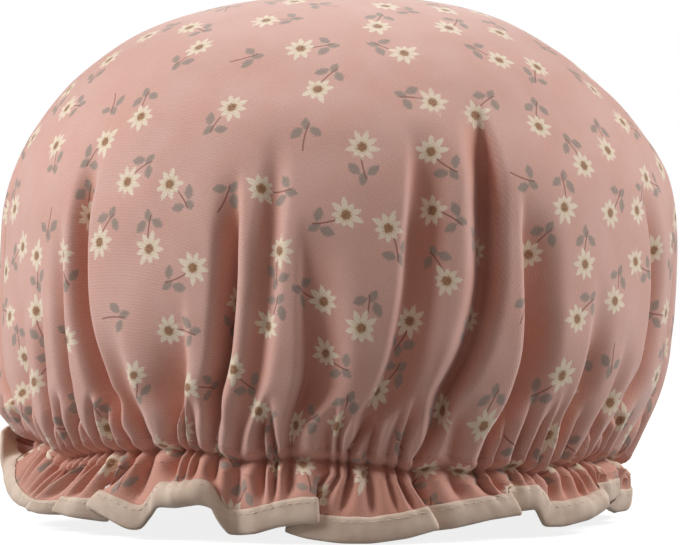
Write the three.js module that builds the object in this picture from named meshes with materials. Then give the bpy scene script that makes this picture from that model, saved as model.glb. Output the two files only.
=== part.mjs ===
// A bouffant shower cap, standing on its ruffle as it does when it is filled for display.
// A printed outer cloth and a waterproof lining, each cut as one disc, lie one inside the other.
// Two rows of stitches make a channel through both, an elastic band in the channel gathers them,
// and a folded binding holds their two edges together along the hem of the ruffle.
// Millimetres, +Z up. The front of the cap faces -Y, and the origin lies on the surface that the
// hem stands on, under the middle of the crown.
import * as THREE from "three";

// Crown
const CROWN_RADIUS = 135; // over the ridges of the folds, at the widest level
const CROWN_RISE = 110; // top of the crown above the widest level
const BELLY_HEIGHT = 97; // widest level above the standing surface
const CROWN_FULLNESS = 2.4; // exponent of the crown's superellipse profile, 2 for an ellipse
const CROWN_LEVELS = [14, 28, 43, 58, 73, 91, 112]; // rings of the crown, in degrees down from its top
const FOLDED_FROM = 3; // index of the first ring that has valleys between its ridges

// Folds
const FOLD_DEPTH = 9; // valley below its ridges, low on the crown
const FOLDS_START = 45; // degrees down from the top of the crown where the folds begin
const FOLDS_FULL = 105; // degrees down from the top where they have their whole depth
const FRONT_FOLDS = [
  // heading of a valley in degrees from the front, towards +X, and its share of the fold depth
  [-83, 0.8],
  [-71, 1.1],
  [-60, 0.7],
  [-50, 1.1],
  [-40, 0.9],
  [-30, 0.8],
  [-18, 1.2],
  [-7, 1.2],
  [10, 0.9],
  [25, 1.4],
  [36, 0.8],
  [47, 0.9],
  [58, 0.7],
  [69, 1.2],
  [81, 0.8],
];
const BACK_FOLDS = 11; // valleys spread over the back
const BACK_FOLD_VARIATION_SHARE = 0.25; // how much the depths of the back's folds vary

// Neck, where the elastic gathers the cloth
const NECK_HEIGHT = 28; // middle of the elastic above the standing surface
const BAND_RADIUS = 108; // middle of the elastic's thickness
const ELASTIC_WIDTH = 5;
const ELASTIC_THICKNESS = 1;
const ELASTIC_LAP = 9; // length over which the band's sewn ends lie on each other
const CHANNEL_EASE = 0.5; // room above and below the elastic in its channel
const STITCH_GAP = 1.3; // a stitch row above or below the edge of the channel
const GATHER_OUT = 9; // ridges of the gathers outside the band's middle
const GATHER_IN = 0.5; // valleys of the gathers inside the band's middle
const CHANNEL_SWELL = 1; // how far the ridges swell over the elastic
const LINING_PUCKER = 1.5; // depth of the lining's puckers inside the elastic

// Lean of the filled cap: its neck sits off the crown's middle, one side lower
const LEAN_SHIFT = -5; // neck along X
const LEAN_DROP = 4; // neck's +X side below its middle
const LAST_RING_LEAN_SHARE = 0.4; // share of the lean in the crown's lowest ring

// Ruffle
const RUFFLE_FLARE = 16; // ridges of the lobes outside the band's middle, at the hem
const LOBE_DEPTH = 15; // valleys of the ruffle inside its ridges, at the hem
const LOBE_SWEEP_SHARE = 0.25; // how far a lobe lies over to one side, as a share of its spacing
const SIDE_LIFT = 3.5; // hem above the standing surface at the two sides
const HEM_LEAN = 2; // how far the lean adds to that at -X, and takes from it at +X
const LOBE_LIFT = 6; // how far a raised lobe lifts further
const LOBE_COUNT_PER_RAISED = 5; // one lobe in this many is raised
const FIRST_RAISED_INDEX = 3; // the first raised lobe

// Layers
const CLOTH_THICKNESS = 0.6;
const LINING_THICKNESS = 0.5;
const LAYER_GAP = 0.7; // between the cloth and the lining
const CLEARANCE = 0.4; // between pieces that lie against each other
const STITCH_LIE = 0.65; // between a row of stitches and what it lies on

// Binding and threads
const BINDING_WIDTH = 9; // each side of the hem
const BINDING_THICKNESS = 0.6;
const BINDING_ROOM = 1.2; // edges of the two cloths above the fold of the binding
const THREAD_RADIUS = 0.3;
const THREAD_SIDES = 5;
const TOPSTITCH_INSET = 1.6; // row of stitches below the binding's upper edge
const BAR_TACK_ROWS = 7; // zigzags of the thread that joins the elastic's ends
const BAR_TACK_MARGIN = 1.2; // from the bar tack to the edges of the lap
const BAND_STEPS = 60; // facets of the elastic band

// Offsets from the middle surface between the two cloths, outwards
const CLOTH_INSIDE = LAYER_GAP / 2;
const CLOTH_OUTSIDE = CLOTH_INSIDE + CLOTH_THICKNESS;
const LINING_OUTSIDE = -LAYER_GAP / 2;
const LINING_INSIDE = LINING_OUTSIDE - LINING_THICKNESS;
const SLOT_OUTSIDE = CLOTH_OUTSIDE + CLEARANCE;
const SLOT_INSIDE = LINING_INSIDE - CLEARANCE;
const TAPE_OUTSIDE = SLOT_OUTSIDE + BINDING_THICKNESS;
const TAPE_INSIDE = SLOT_INSIDE - BINDING_THICKNESS;

// Heights of the neck's rows, from the middle of the elastic
const CHANNEL_HALF = ELASTIC_WIDTH / 2 + CHANNEL_EASE;
const STITCH_RISE = CHANNEL_HALF + STITCH_GAP;
const BINDING_FOLD = BINDING_ROOM + BINDING_THICKNESS; // hem edge above the underside of the binding

// Radial room that the elastic, its lap and its bar tack take inside the channel
const LAP_STEP = ELASTIC_THICKNESS + CLEARANCE;
const BAND_OUTSIDE = BAND_RADIUS + ELASTIC_THICKNESS / 2;
const LAP_INSIDE = BAND_RADIUS - ELASTIC_THICKNESS / 2 - LAP_STEP;
const TACK_RADIUS = LAP_INSIDE - CLEARANCE - THREAD_RADIUS;
const CHANNEL_OUTER = BAND_OUTSIDE + CLEARANCE - CLOTH_INSIDE;
const CHANNEL_INNER = TACK_RADIUS - THREAD_RADIUS - CLEARANCE - LINING_OUTSIDE;

const radians = THREE.MathUtils.degToRad;
const smoothstep = THREE.MathUtils.smoothstep;

// Stations round the cap: a ridge, the valley after it, the next ridge, and so on.
function foldStations() {
  const first = FRONT_FOLDS[0][0];
  const last = FRONT_FOLDS[FRONT_FOLDS.length - 1][0];
  const backSpacing = (first + 360 - last) / (BACK_FOLDS + 1);
  const valleys = FRONT_FOLDS.map(([heading, share]) => ({ heading, share }));
  for (let k = 1; k <= BACK_FOLDS; k += 1) {
    const share = 1 + BACK_FOLD_VARIATION_SHARE * Math.sin(k * k);
    valleys.push({ heading: last + k * backSpacing, share });
  }
  return valleys.flatMap((valley, k) => {
    const before = k ? valleys[k - 1].heading : valleys[valleys.length - 1].heading - 360;
    const ridge = { heading: (before + valley.heading) / 2, share: 0 };
    const spacing = valley.heading - before;
    return [
      { ...ridge, spacing, lobe: k, isRidge: true },
      { ...valley, spacing, lobe: k, isRidge: false },
    ];
  });
}

const STATIONS = foldStations();

// A point at a heading, a radius and a height, with its share of the cap's lean.
function placed(headingDegrees, radius, height, leanShare) {
  const heading = radians(headingDegrees);
  return new THREE.Vector3(
    radius * Math.sin(heading) + leanShare * LEAN_SHIFT,
    -radius * Math.cos(heading),
    height - leanShare * LEAN_DROP * Math.sin(heading),
  );
}

// One ring of the crown, its valleys sunk below the superellipse that its ridges follow.
function crownRing(level, index) {
  const down = radians(level);
  const bow = 2 / CROWN_FULLNESS;
  const radius = CROWN_RADIUS * Math.sin(down) ** bow;
  const height = BELLY_HEIGHT + CROWN_RISE * Math.sign(Math.cos(down)) * Math.abs(Math.cos(down)) ** bow;
  const depth = FOLD_DEPTH * smoothstep(level, FOLDS_START, FOLDS_FULL);
  const leanShare = index === CROWN_LEVELS.length - 1 ? LAST_RING_LEAN_SHARE : 0;
  const used = index < FOLDED_FROM ? STATIONS.filter((station) => station.isRidge) : STATIONS;
  return used.map((s) => placed(s.heading, radius - depth * s.share, height, leanShare));
}

function neckRing(rise, ridgeRadius, valleyRadius) {
  return STATIONS.map((s) =>
    placed(s.heading, s.isRidge ? ridgeRadius : valleyRadius, NECK_HEIGHT + rise, 1),
  );
}

// The hem's height above the standing surface: raised at the sides and on every few lobes.
function hemLift(station) {
  const sideways = Math.sin(radians(station.heading));
  const side = (SIDE_LIFT - HEM_LEAN * sideways) * smoothstep(Math.abs(sideways), 0.5, 1);
  const raised = station.isRidge && station.lobe % LOBE_COUNT_PER_RAISED === FIRST_RAISED_INDEX;
  return side + (raised ? LOBE_LIFT : 0);
}

function hemRing() {
  return STATIONS.map((s) => {
    const heading = s.heading - (s.isRidge ? LOBE_SWEEP_SHARE * s.spacing : 0);
    const radius = BAND_RADIUS + RUFFLE_FLARE - (s.isRidge ? 0 : LOBE_DEPTH);
    const point = placed(heading, radius, 0, 1);
    point.z = BINDING_FOLD + hemLift(s);
    return point;
  });
}

// Rings of the middle surface from the crown's first ring down to the hem.
// The channel's two rows are given, because the cloth and the lining part round the elastic.
function capRings(channelRidge, channelValley) {
  const stitched = [BAND_RADIUS + GATHER_OUT, BAND_RADIUS - GATHER_IN];
  const lowerStitch = neckRing(-STITCH_RISE, ...stitched);
  const hem = hemRing();
  const bindingTop = hem.map((point, i) => {
    const slope = lowerStitch[i].clone().sub(point);
    return point.clone().addScaledVector(slope.normalize(), BINDING_WIDTH);
  });
  return [
    ...CROWN_LEVELS.map(crownRing),
    neckRing(STITCH_RISE, ...stitched),
    neckRing(CHANNEL_HALF, channelRidge, channelValley),
    neckRing(-CHANNEL_HALF, channelRidge, channelValley),
    lowerStitch,
    bindingTop,
    hem,
  ];
}

const ROW = { lowerStitch: -3, bindingTop: -2, hem: -1, upperStitch: CROWN_LEVELS.length };

// Triangles between two rings given by the indices of their points, seen from outside.
// The upper ring may have half as many points as the lower one, all on ridges.
function band(upper, lower) {
  const n = lower.length;
  const triangles = [];
  const halved = upper.length < n;
  for (let i = 0; i < n; i += halved ? 2 : 1) {
    const next = (i + 1) % n;
    if (halved) {
      const [here, there] = [upper[i / 2], upper[(i / 2 + 1) % upper.length]];
      triangles.push([here, lower[i], lower[next]], [here, lower[next], there]);
      triangles.push([there, lower[next], lower[(i + 2) % n]]);
    } else {
      triangles.push([upper[i], lower[i], lower[next]], [upper[i], lower[next], upper[next]]);
    }
  }
  return triangles;
}

// The middle surface: points, triangles, and at each point the step that offsets the surface by 1
// and the longer step that brings the point clear of every triangle round it by 1.
function middleSurface(rings) {
  const points = [new THREE.Vector3(0, 0, BELLY_HEIGHT + CROWN_RISE)];
  const indices = rings.map((ring) => ring.map((point) => points.push(point) - 1));
  const triangles = indices[0].map((a, i) => [0, a, indices[0][(i + 1) % indices[0].length]]);
  for (let i = 1; i < indices.length; i += 1) triangles.push(...band(indices[i - 1], indices[i]));

  const corners = points.map(() => []);
  triangles.forEach((triangle) => {
    const [a, b, c] = triangle.map((i) => points[i]);
    const normal = new THREE.Triangle(a, b, c).getNormal(new THREE.Vector3());
    triangle.forEach((i, k) => {
      const toNext = points[triangle[(k + 1) % 3]].clone().sub(points[i]);
      const toLast = points[triangle[(k + 2) % 3]].clone().sub(points[i]);
      corners[i].push({ normal, angle: toNext.angleTo(toLast) });
    });
  });
  const directions = corners.map((around) => {
    const sum = new THREE.Vector3();
    around.forEach(({ normal, angle }) => sum.addScaledVector(normal, angle));
    return sum.normalize();
  });
  const steps = directions.map((direction, i) => {
    const whole = corners[i].reduce((sum, { angle }) => sum + angle, 0);
    const facing = corners[i].reduce((sum, { normal, angle }) => sum + angle * direction.dot(normal), 0);
    return direction.clone().multiplyScalar(whole / facing);
  });
  const clear = directions.map((direction, i) => {
    const steepest = Math.min(...corners[i].map(({ normal }) => direction.dot(normal)));
    return direction.clone().divideScalar(steepest);
  });
  return { points, triangles, steps, clear, rows: indices };
}

function geometryOf(points, triangles) {
  const geometry = new THREE.BufferGeometry().setFromPoints(points);
  geometry.setIndex(triangles.flat());
  return geometry;
}

function offsetPoint(surface, index, distance) {
  return surface.points[index].clone().addScaledVector(surface.steps[index], distance);
}

// A sheet of cloth between two offsets of a middle surface, closed along its hem.
function sheetGeometry(surface, inside, outside) {
  const count = surface.points.length;
  const points = [outside, inside].flatMap((distance) =>
    surface.points.map((_, i) => offsetPoint(surface, i, distance)),
  );
  const hem = surface.rows.at(ROW.hem);
  const triangles = [
    ...surface.triangles,
    ...surface.triangles.map(([a, b, c]) => [a + count, c + count, b + count]),
    ...band(hem, hem.map((i) => i + count)),
  ];
  return geometryOf(points, triangles);
}

// A solid through sections of equal size: a closed ring of them, or a run with an end cap each side.
// Its facets split as those of the cloth do, from a higher corner to the next section's lower one.
function loft(sections, isRing) {
  const size = sections[0].length;
  const points = sections.flat();
  const triangles = [];
  const spans = isRing ? sections.length : sections.length - 1;
  for (let s = 0; s < spans; s += 1) {
    const here = s * size;
    const there = ((s + 1) % sections.length) * size;
    for (let i = 0; i < size; i += 1) {
      const next = (i + 1) % size;
      const [a, b, c, d] = [here + i, there + i, there + next, here + next];
      if (points[a].z >= points[d].z) triangles.push([a, b, c], [a, c, d]);
      else triangles.push([a, b, d], [b, c, d]);
    }
  }
  const end = (sections.length - 1) * size;
  for (let i = 1; !isRing && i < size - 1; i += 1) {
    triangles.push([0, i, i + 1], [end, end + i + 1, end + i]);
  }
  return geometryOf(points, triangles);
}

// The flat elastic band: one turn, with its end lapped inside its start at the back.
function elasticGeometry() {
  const lap = THREE.MathUtils.radToDeg(ELASTIC_LAP / BAND_RADIUS);
  const run = 360 + lap;
  const sections = [];
  for (let step = 0; step <= BAND_STEPS; step += 1) {
    const turned = (run * step) / BAND_STEPS;
    const inward = LAP_STEP * smoothstep(turned, 360 - 4 * lap, 360 - lap);
    const corner = (side, edge) =>
      placed(
        180 - lap / 2 + turned,
        BAND_RADIUS - inward + (side * ELASTIC_THICKNESS) / 2,
        NECK_HEIGHT + (edge * ELASTIC_WIDTH) / 2,
        1,
      );
    sections.push([corner(-1, -1), corner(1, -1), corner(1, 1), corner(-1, 1)]);
  }
  return loft(sections, false);
}

// The zigzag of thread that sews the elastic's lapped ends together.
function barTackGeometry() {
  const half = ELASTIC_LAP / 2 - BAR_TACK_MARGIN;
  const reach = ELASTIC_WIDTH / 2 - BAR_TACK_MARGIN;
  const corners = [];
  for (let row = 0; row <= BAR_TACK_ROWS; row += 1) {
    const along = THREE.MathUtils.lerp(-half, half, row / BAR_TACK_ROWS);
    const heading = 180 + THREE.MathUtils.radToDeg(along / TACK_RADIUS);
    const height = NECK_HEIGHT + (row % 2 ? reach : -reach);
    corners.push(placed(heading, TACK_RADIUS, height, 1));
  }
  const section = new THREE.Shape().absarc(0, 0, THREAD_RADIUS, 0, 2 * Math.PI);
  return new THREE.ExtrudeGeometry(section, {
    extrudePath: new THREE.CatmullRomCurve3(corners),
    steps: 4 * BAR_TACK_ROWS,
    curveSegments: THREAD_SIDES,
    bevelEnabled: false,
  });
}

// A round thread that runs right round the cap through the given points.
// Across it, up is the direction along the cloth and out the direction away from it.
function threadGeometry(centres, outs, ups) {
  const sections = centres.map((centre, i) => {
    const section = [];
    for (let side = 0; side < THREAD_SIDES; side += 1) {
      const turn = (2 * Math.PI * side) / THREAD_SIDES;
      const point = centre.clone().addScaledVector(outs[i], THREAD_RADIUS * Math.cos(turn));
      section.push(point.addScaledVector(ups[i], THREAD_RADIUS * Math.sin(turn)));
    }
    return section;
  });
  return loft(sections, true);
}

// A stitch row that lies on the outer cloth along one row of the middle surface.
function casingThreadGeometry(surface, row) {
  const lie = CLOTH_OUTSIDE + STITCH_LIE + THREAD_RADIUS;
  const indices = surface.rows.at(row);
  const outs = indices.map((i) => surface.steps[i].clone().normalize());
  const around = indices.map((i, k) => {
    const next = surface.points[indices[(k + 1) % indices.length]];
    return next.clone().sub(surface.points[indices.at(k - 1)]);
  });
  const ups = outs.map((out, k) => out.clone().cross(around[k]).normalize());
  return threadGeometry(
    indices.map((i) => surface.points[i].clone().addScaledVector(surface.clear[i], lie)),
    outs,
    ups,
  );
}

// The two faces of the binding at one station: points at a distance below its upper edge.
function bindingPoint(surface, station, offset, share) {
  const top = offsetPoint(surface, surface.rows.at(ROW.bindingTop)[station], offset);
  const bottom = offsetPoint(surface, surface.rows.at(ROW.hem)[station], offset);
  return top.lerp(bottom, share);
}

// The binding: a tape folded round the two hems, open upwards, level along its fold.
function bindingGeometry(surface) {
  const sections = STATIONS.map((_, k) => {
    const hemHeight = surface.points[surface.rows.at(ROW.hem)[k]].z;
    const corner = (offset, drop) => {
      const top = bindingPoint(surface, k, offset, 0);
      const bottom = bindingPoint(surface, k, offset, 1);
      const height = hemHeight - drop;
      return top.lerp(bottom, (top.z - height) / (top.z - bottom.z)).setZ(height);
    };
    return [
      bindingPoint(surface, k, TAPE_OUTSIDE, 0),
      bindingPoint(surface, k, SLOT_OUTSIDE, 0),
      corner(SLOT_OUTSIDE, BINDING_ROOM),
      corner(SLOT_INSIDE, BINDING_ROOM),
      bindingPoint(surface, k, SLOT_INSIDE, 0),
      bindingPoint(surface, k, TAPE_INSIDE, 0),
      corner(TAPE_INSIDE, BINDING_FOLD),
      corner(TAPE_OUTSIDE, BINDING_FOLD),
    ];
  });
  return loft(sections, true);
}

// The row of stitches along the binding's outer face: a point at each station, and one where the row
// crosses the fold between the two facets that lead to the next station.
function topstitchGeometry(surface) {
  const lie = TAPE_OUTSIDE + STITCH_LIE + THREAD_RADIUS;
  const share = TOPSTITCH_INSET / BINDING_WIDTH;
  const outs = surface.rows.at(ROW.bindingTop).map((i) => surface.steps[i].clone().normalize());
  const tops = STATIONS.map((_, k) => bindingPoint(surface, k, lie, 0));
  const hems = STATIONS.map((_, k) => bindingPoint(surface, k, lie, 1));
  const ups = tops.map((top, k) => top.clone().sub(hems[k]).normalize());
  const next = (k) => (k + 1) % STATIONS.length;
  const between = (list) =>
    list.flatMap((here, k) => [here, here.clone().lerp(list[next(k)], share).normalize()]);
  const centres = tops.flatMap((top, k) => [
    top.clone().lerp(hems[k], share),
    top.clone().lerp(hems[next(k)], share),
  ]);
  return threadGeometry(centres, between(outs), between(ups));
}

function material(color, roughness) {
  return new THREE.MeshStandardMaterial({ color, roughness, metalness: 0 });
}

const MATERIALS = {
  cloth: material(0xd0a093, 0.75),
  lining: material(0xe9e6e2, 0.35),
  elastic: material(0xf2efea, 0.85),
  binding: material(0xd9c5b0, 0.85),
  pinkThread: material(0xc08f84, 0.6),
  creamThread: material(0xe2d2bf, 0.6),
};

const clothSurface = middleSurface(
  capRings(BAND_RADIUS + GATHER_OUT + CHANNEL_SWELL, CHANNEL_OUTER),
);
const liningSurface = middleSurface(capRings(CHANNEL_INNER, CHANNEL_INNER - LINING_PUCKER));

const cap = new THREE.Group();

function addPiece(name, geometry, pieceMaterial) {
  const mesh = new THREE.Mesh(geometry, pieceMaterial);
  mesh.name = name;
  cap.add(mesh);
}

addPiece("outer_cloth", sheetGeometry(clothSurface, CLOTH_INSIDE, CLOTH_OUTSIDE), MATERIALS.cloth);
addPiece(
  "waterproof_lining",
  sheetGeometry(liningSurface, LINING_INSIDE, LINING_OUTSIDE),
  MATERIALS.lining,
);
addPiece("elastic_band", elasticGeometry(), MATERIALS.elastic);
addPiece("elastic_bar_tack", barTackGeometry(), MATERIALS.creamThread);
addPiece("hem_binding", bindingGeometry(clothSurface), MATERIALS.binding);
addPiece(
  "casing_thread_upper",
  casingThreadGeometry(clothSurface, ROW.upperStitch),
  MATERIALS.pinkThread,
);
addPiece(
  "casing_thread_lower",
  casingThreadGeometry(clothSurface, ROW.lowerStitch),
  MATERIALS.pinkThread,
);
addPiece("binding_thread", topstitchGeometry(clothSurface), MATERIALS.creamThread);

export default cap;
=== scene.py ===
"""Looks of the shower cap: printed crown, gathered neck, bound ruffle, lining, elastic and stitches.

Lengths are in millimetres until a mesh is made. Headings are in degrees, from the front (-Y) towards +X,
and tilts are in degrees down from the crown's pole.
"""
import math
from collections import namedtuple

import bpy
import numpy as np
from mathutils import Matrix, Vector


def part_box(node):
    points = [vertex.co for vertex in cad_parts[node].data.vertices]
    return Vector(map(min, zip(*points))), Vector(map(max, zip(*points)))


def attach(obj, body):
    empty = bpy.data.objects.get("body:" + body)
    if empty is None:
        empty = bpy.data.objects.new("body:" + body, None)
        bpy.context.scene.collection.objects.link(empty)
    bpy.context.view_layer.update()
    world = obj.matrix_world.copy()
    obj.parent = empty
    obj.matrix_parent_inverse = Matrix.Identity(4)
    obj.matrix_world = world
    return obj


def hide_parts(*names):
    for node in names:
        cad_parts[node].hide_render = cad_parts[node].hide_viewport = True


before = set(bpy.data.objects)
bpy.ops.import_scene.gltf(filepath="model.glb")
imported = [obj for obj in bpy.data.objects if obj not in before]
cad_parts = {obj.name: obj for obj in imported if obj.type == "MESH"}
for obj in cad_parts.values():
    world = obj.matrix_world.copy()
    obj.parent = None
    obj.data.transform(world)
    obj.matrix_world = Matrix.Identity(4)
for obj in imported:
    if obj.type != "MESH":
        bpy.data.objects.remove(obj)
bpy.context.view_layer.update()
MM = 0.001
TINY = 1e-9
SEED = 27


def colour(red, green, blue):
    """A linear colour from display values of 0 to 255."""
    shares = [value / 255 for value in (red, green, blue)]
    linear = [share / 12.92 if share <= 0.04045 else ((share + 0.055) / 1.055) ** 2.4 for share in shares]
    return (*linear, 1.0)


# Main sizes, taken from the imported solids
cloth_low, cloth_high = (np.array(corner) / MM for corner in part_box("outer_cloth"))
band_low, band_high = (np.array(corner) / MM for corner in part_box("elastic_band"))
stitch_low, stitch_high = (np.array(corner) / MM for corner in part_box("casing_thread_upper"))
TOP_MARGIN = 1.0
SIDE_MARGIN = 1.5
CROWN_TOP = cloth_high[2] - TOP_MARGIN
CROWN_RADIUS = (cloth_high[0] - cloth_low[0]) / 2 - SIDE_MARGIN
BELLY_HEIGHT = 97.0
BAND_RADIUS = (band_high[1] - band_low[1]) / 2
NECK_SHIFT = (band_high[0] + band_low[0]) / 2
NECK_HEIGHT = (band_high[2] + band_low[2]) / 2
NECK_DROP = 4.0
STITCH_RISE = (stitch_low[2] + stitch_high[2]) / 2 - NECK_HEIGHT
STITCH_REACH = 13.0
STITCH_RADIUS = BAND_RADIUS + STITCH_REACH
ELASTIC_WIDTH = band_high[2] - band_low[2] - 2 * NECK_DROP
ELASTIC_THICKNESS = 1.0
ELASTIC_LAP = 9.0

# Grid of the cloth
COLUMNS = 1440
COLUMN_HEADINGS = np.linspace(-180, 180, COLUMNS, endpoint=False)
CROWN_ROWS = 120
ROW_CROWDING = 0.12
RUFFLE_ROWS = 20
BINDING_ROWS = 6
BINDING_WIDTH = 9.0
POLE_RISE = 0.05

# Form of the crown: a superellipse of revolution, flattened on top and drawn in at the neck
FULLNESS = 2.4
BELLY_TILT = 90
CROWN_RISE = CROWN_TOP - BELLY_HEIGHT
STITCH_SHARE = (1 - (STITCH_RADIUS / CROWN_RADIUS) ** FULLNESS) ** (1 / FULLNESS)
CROWN_FALL = (BELLY_HEIGHT - NECK_HEIGHT - STITCH_RISE) / STITCH_SHARE
END_TILT = math.degrees(math.pi - math.acos(STITCH_SHARE ** (FULLNESS / 2)))

# Tilts from which the crown's folds press straight in, its rows lean with the neck, and its sag and its
# lining follow the neck; and the tilts between which its folds turn into gathers
LEVEL_TILT = 98
LEAN_TILT = 100
NECK_TILT = 112
GATHER_TILTS = (106, END_TILT - 2)

# The crown sags over its neck on the left and is dented high on the right: middles and reaches of both
SAG_DEPTH = 7.0
SAG_HEADINGS = (-92, 70)
SAG_START = (88, 108)
NECK_SAG_SHARE = 0.55
DENT_DEPTH = 4.0
DENT_HEADINGS = (84, 60)
DENT_TILTS = (44, 26)

# Unevenness of the crown: the height of each kind, and its cells round the cap and down it
RIPPLES = [(1.3, 13, 6), (0.7, 27, 11), (0.25, 70, 26)]
RIPPLE_START = (18, 60)
RIPPLE_LOSS = 0.7

# A crease of the crown: its heading at the neck and at the belly, the tilt at which it starts, its depth
# and the side with the steep wall (-1, 1, or 0 for neither)
Fold = namedtuple("Fold", "neck belly top depth steep")
FRONT_FOLDS = [Fold(*crease) for crease in (
    (-66.0, -74.4, 64, 10.0, 1), (-58.5, -61.0, 90, 7.0, 1), (-53.0, -56.0, 86, 7.0, 1),
    (-45.5, -50.0, 80, 8.5, 1), (-36.8, -44.3, 68, 13.0, 1), (-26.6, -24.6, 90, 10.0, 1),
    (-19.8, -16.3, 74, 15.0, 1), (-15.4, -11.0, 66, 5.5, 0), (-6.4, -4.9, 82, 12.0, -1),
    (4.0, 11.5, 64, 9.0, -1), (15.6, 24.6, 58, 15.0, 1), (28.5, 29.5, 76, 12.0, -1),
    (43.3, 44.5, 88, 9.0, -1), (50.5, 54.0, 96, 6.5, -1), (55.5, 62.0, 72, 11.0, -1),
    (71.0, 74.0, 76, 10.0, -1),
)]

# Seeded creases of the sides and back, smaller ones between all of these, and short gathers at the neck
BACK_FOLDS = 15
BACK_JITTER = 0.25
BACK_TOPS = (54, 84)
BACK_DEPTHS = (7.5, 9.5)
BACK_DEPTH_GAIN = 0.1
BACK_DRIFT = 3
SECOND_FOLD_GAP = 11.0
SECOND_JITTER = 0.28
SECOND_TOPS = (92, 106)
SECOND_DEPTHS = (5.0, 8.0)
GATHER_GAPS = [1.5, 2.0, 2.6, 3.4, 4.6, 7.0]
GATHER_REACHES = [5, 7, 9, 12, 16, 22]
GATHER_UNEVENNESS = (0.85, 1.15)
GATHER_DRIFT = 2
GATHER_DEPTH = 7.6
GATHER_DEPTH_SHARES = (0.5, 1.0)

# How a crease runs: the tilt it takes to grow, its bend towards the neck and its waves; and its walls
FOLD_GROWTH = 24.0
PATH_BEND = 1.5
WAVE_SIZES = (0.3, 1.1)
WAVE_RATES = (4, 7)
WAVE_STARTS = (0, 6.3)
STEEP_SHARE = 0.3
OVERHANG = 0.16
OVERHANG_END = 3
OVERHANG_RADIUS = 20
RIDGE_ROUNDING = 4

# The pinched neck below the upper stitch row: each row's height, as a share of the stitch row's, and
# how far it stands out from the elastic
NECK_PROFILE = [
    (0.7, 12.4), (0.4, 10.8), (0.16, 8.0), (-0.04, 6.2), (-0.24, 7.8), (-0.55, 10.4), (-1.0, 12.0),
]
CHANNEL_ROWS = len(NECK_PROFILE)
PINCH_SHARE = 0.6
NECK_WAVES = [(2.4, 26), (1.6, 70)]
LEFT_TUCK = 4.0
LEFT_TUCK_HEADINGS = (-88, 45)
RIGHT_TUCK = 5.0
RIGHT_TUCK_HEADINGS = (90, 50)

# The ruffle's fall to the hem: how far out, round and down its bend lies, and how its gathers end
FALL_STEPS = 60
BEND_SHARES = (0.7, 0.45, 0.4)
BEND_BULGES = (1.0, 0, 0)
SQUARE_SHARE = 0.4
GATHER_FADING = 1.1
FADING_WAVES = [(0.6, 24)]
GATHER_END = (0.6 * BINDING_WIDTH, BINDING_WIDTH + 5)

# A point of the hem: the heading on the neck that its cloth hangs from, its own heading, how far it
# stands out from the elastic, its height, and how far the binding's middle is rolled out there
Hem = namedtuple("Hem", "neck heading reach height roll", defaults=[0])
FRONT_HEM = [Hem(*point) for point in (
    (-114, -112, 11, 14), (-106, -100, 19, 32), (-99, -92, 19.5, 37), (-94, -87.5, 20.5, 35.5),
    (-90, -85.5, 20.5, 30), (-86, -84.5, 20.5, 23), (-82, -83.5, 19.5, 16.5), (-76, -81, 18, 12),
    (-69, -77.5, 16.5, 9.5), (-61, -73.5, 15, 8), (-55, -70, 13.5, 7.5), (-52, -64, 7, 7),
    (-50, -66.5, 17, 8), (-48, -61, 15, 6.5), (-46.5, -53, 8, 7), (-45, -55.5, 16, 8.5),
    (-42, -49.5, 15, 7), (-39.5, -42.5, 8, 5.5), (-36.5, -45.5, 15.5, 12), (-35, -41, 15, 8.5),
    (-33, -36, 13.5, 4), (-31.5, -33.5, 12, 4), (-30, -31.5, 12, 9), (-28.5, -29.5, 14, 12.5, 2),
    (-25, -25.5, 15, 12.5, 4), (-21.5, -21, 16, 14, 3), (-19.8, -18.8, 16, 13), (-18.3, -17.8, 13, 7),
    (-17, -16.8, 11, 3.5), (-15, -15, 9, 3.2), (-12.5, -12, 12, 4), (-8, -8, 13, 6.5), (-4, -3.5, 14, 8),
    (-1.8, -0.8, 14.5, 8.2), (-0.8, -3, 9, 7), (0.2, -8, 8, 5), (2, -3.5, 11, 2.5), (4.5, 2.5, 14, 1),
    (7, 7.5, 14, 0.9), (11, 13.5, 14.5, 2.5), (14.5, 19.3, 15, 5.7), (15.6, 17.8, 9, 5),
    (16.8, 16.8, 8, 4), (20.5, 22, 13, 5.5), (26, 28.5, 13.5, 8), (31.5, 35.2, 14.5, 9.5),
    (32.6, 34, 9, 9.5), (33.8, 33.6, 8, 10), (36.8, 36.5, 11, 10.5), (40, 38.7, 13, 11),
    (42, 40.5, 12.5, 6), (43.2, 41.4, 12, 4.3), (45.5, 45.5, 13, 4), (50, 52, 14, 5.5, 2),
    (54, 58, 13, 8, 3), (55.5, 61, 13, 10), (56.8, 59.5, 8, 9.5), (58.5, 59.5, 7, 9), (62, 64, 10, 10.5),
    (67, 70, 10, 11.7), (69, 69.5, 7, 9),
)]
HEM_ROUNDING = 7

# A lobe of the ruffle's unseen back: shares of its width on the neck and at the hem, and its reach
LEANING_LOBE = [(0.06, -0.06, 8), (0.3, 0.34, 11), (0.62, 0.8, 15), (0.86, 1.12, 16), (0.94, 1.0, 9)]
PLAIN_LOBE = [(0.1, 0.05, 8), (0.32, 0.2, 14), (0.68, 0.8, 14), (0.9, 0.95, 8)]
LOBE_GAP = 1.0
LOBE_WIDTHS = (0.75, 1.25)
# Heights of the hem at the start, in the middle and at the end of each of those lobes
BACK_LOBE_HEIGHTS = [
    (8, 4, 6), (5, 2, 3.5), (2, 0.9, 5), (7, 9, 6), (3, 5, 8), (4, 0.9, 2), (7, 3, 1.5), (6, 8.5, 9),
    (4, 1.5, 0.9), (5, 2.5, 6), (4, 8, 12),
]

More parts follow.
